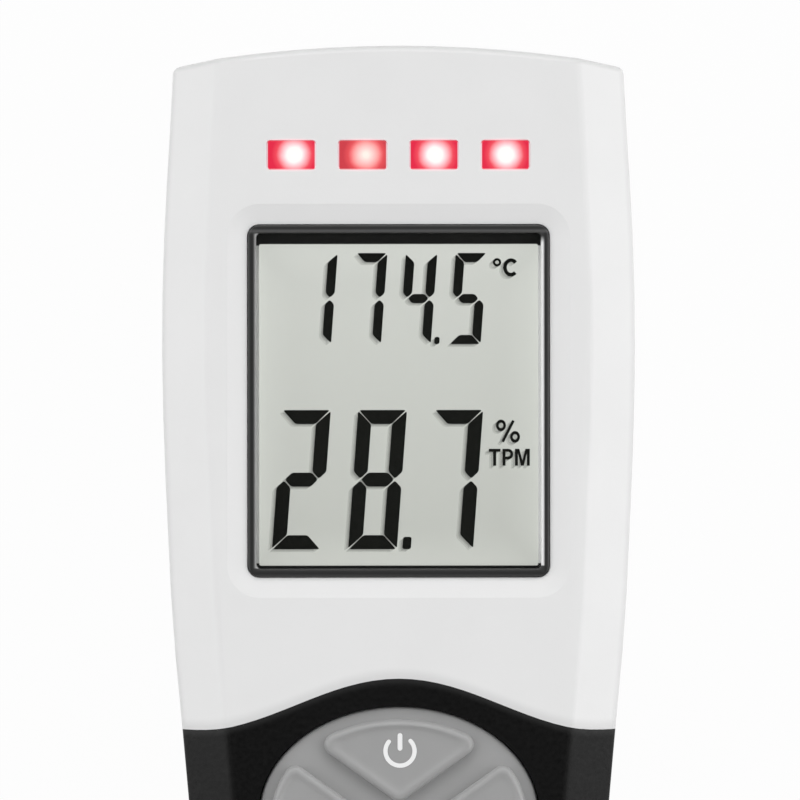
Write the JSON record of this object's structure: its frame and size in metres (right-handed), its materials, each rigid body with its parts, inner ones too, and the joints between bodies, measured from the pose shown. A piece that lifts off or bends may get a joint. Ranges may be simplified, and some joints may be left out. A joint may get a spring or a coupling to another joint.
{
  "type": "frying oil tester",
  "caption": "Handheld tester for frying oil: a flat display head with signal lamps, a soft grip with an oval keypad, and a long steel probe with a guarded sensor at its tip.",
  "frame": {"origin": "centre of the bounding box in X and Y, on the surface that the tester's back lies on", "axes": "+Z out of the display, +Y towards the head's far end, -Y towards the probe's tip, +X to the right as the display is read"},
  "size_m": [0.0544, 0.349, 0.0277],
  "materials": {
    "white_plastic": "satin",
    "grip_skin": "soft matt",
    "seal": "matt",
    "screw_steel": "bright",
    "bezel_plastic": "satin",
    "lens": "clear",
    "mask": "gloss",
    "cell": "matt",
    "light_guide": "satin",
    "contact_rubber": "matt",
    "board": "satin",
    "lamp_red": "translucent",
    "chip": "matt",
    "gold": "bright",
    "nylon": "satin",
    "keypad": "soft satin",
    "box_plastic": "satin",
    "cell_wrap": "gloss",
    "cable": "matt",
    "collar_plastic": "satin",
    "probe_steel": "brushed",
    "ceramic": "satin"
  },
  "bodies": {
    "housing": {"front_shell": "white_plastic", "back_shell": "white_plastic", "front_grip": "grip_skin", "back_grip": "grip_skin", "shell_seal": "seal", "housing_screws": "screw_steel", "display_bezel": "bezel_plastic", "display_lens": "lens", "display_mask": "mask", "display_cell": "cell", "display_backlight": "light_guide", "contact_strips": "contact_rubber", "circuit_board": "board", "board_screws": "screw_steel", "lamp_window_1": "lamp_red", "lamp_window_2": "lamp_red", "lamp_window_3": "lamp_red", "lamp_window_4": "lamp_red", "signal_lamps": "light_guide", "processor_chip": "chip", "memory_chip": "chip", "buzzer": "chip", "key_contacts": "gold", "cable_socket": "nylon", "keypad_mat": "keypad", "battery_box": "box_plastic", "battery_left": "cell_wrap", "battery_right": "cell_wrap", "battery_springs": "screw_steel", "battery_plates": "screw_steel", "sensor_cable": "cable", "cable_plug": "nylon", "probe_collar": "collar_plastic", "collar_seal": "seal", "tube_nut": "screw_steel", "probe_tube": "probe_steel", "tip_socket": "probe_steel", "sensor_guard": "probe_steel", "sensor_plate": "ceramic", "sensor_tracks": "gold", "heat_sensor": "ceramic", "plate_seal": "seal"},
    "power_key": {"power_key": "keypad"},
    "left_key": {"left_key": "keypad"},
    "right_key": {"right_key": "keypad"},
    "lower_key": {"lower_key": "keypad"},
    "battery_cover": {"battery_cover": "box_plastic", "cover_seal": "seal"}
  },
  "joints": [
    {"name": "power_key_press", "type": "slide", "parent": "housing", "child": "power_key", "axis": [0, 0, -1], "range_m": [0, 0.0008], "stiffness_N_per_m": 1500, "springref_m": -0.0002},
    {"name": "left_key_press", "type": "slide", "parent": "housing", "child": "left_key", "axis": [0, 0, -1], "range_m": [0, 0.0008], "stiffness_N_per_m": 1500, "springref_m": -0.0002},
    {"name": "right_key_press", "type": "slide", "parent": "housing", "child": "right_key", "axis": [0, 0, -1], "range_m": [0, 0.0008], "stiffness_N_per_m": 1500, "springref_m": -0.0002},
    {"name": "lower_key_press", "type": "slide", "parent": "housing", "child": "lower_key", "axis": [0, 0, -1], "range_m": [0, 0.0008], "stiffness_N_per_m": 1500, "springref_m": -0.0002},
    {"name": "battery_cover_swing", "type": "hinge", "parent": "housing", "child": "battery_cover", "pos_m": [0, 0.0632, 0.0003], "axis": [1, 0, 0], "range_deg": [0, 70]}
  ]
}
